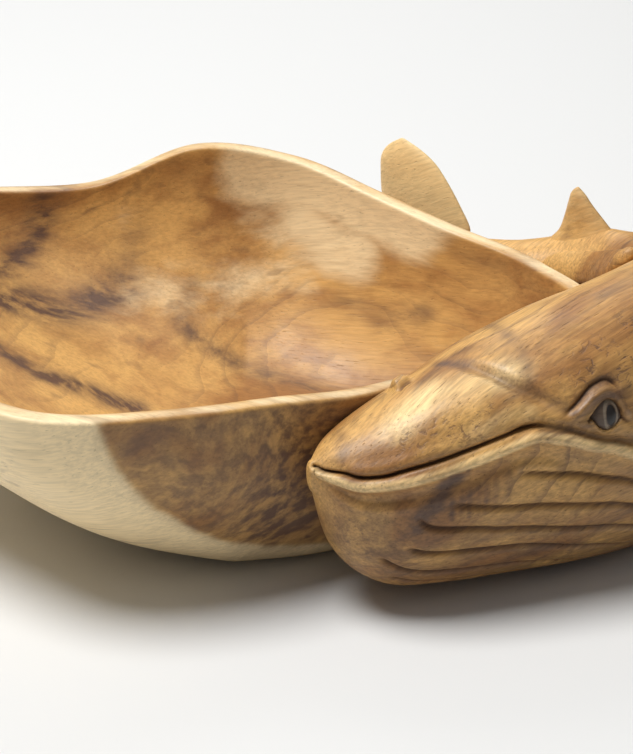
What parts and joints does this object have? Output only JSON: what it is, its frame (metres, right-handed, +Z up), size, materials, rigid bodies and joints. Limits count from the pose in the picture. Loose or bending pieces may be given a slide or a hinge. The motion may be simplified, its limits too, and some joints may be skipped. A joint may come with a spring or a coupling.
{
  "type": "carved wooden bowl",
  "caption": "Free-form carved wooden bowl with a wavy rim, held in the curl of a humpback whale whose head, dorsal fin and fluke stand round it; serves fruit or holds small things.",
  "frame": {"origin": "on the table under the bowl, at the point its outline is drawn from, inside the flat foot", "axes": "+Z up; +X along the bowl towards the whale's back; -Y towards the side of the whale's head"},
  "size_m": [0.5038, 0.31, 0.144],
  "materials": {
    "bowl_wood": "satin lacquer over sanded wood",
    "whale_wood": "satin lacquer over carved and sanded wood",
    "fin_wood": "satin lacquer over sapwood",
    "eye_wood": "satin lacquer",
    "pupil_wood": "polished dark hardwood",
    "dowel_wood": "bare, glued in"
  },
  "bodies": {
    "root": {"bowl": "bowl_wood", "whale_body": "whale_wood", "dorsal_fin": "fin_wood", "tail_fluke": "fin_wood", "flipper_left": "whale_wood", "flipper_right": "whale_wood", "eye": "eye_wood", "pupil": "pupil_wood", "body_dowels": "dowel_wood", "dorsal_dowel": "dowel_wood", "fluke_dowel": "dowel_wood", "flipper_dowels": "dowel_wood"}
  },
  "joints": []
}
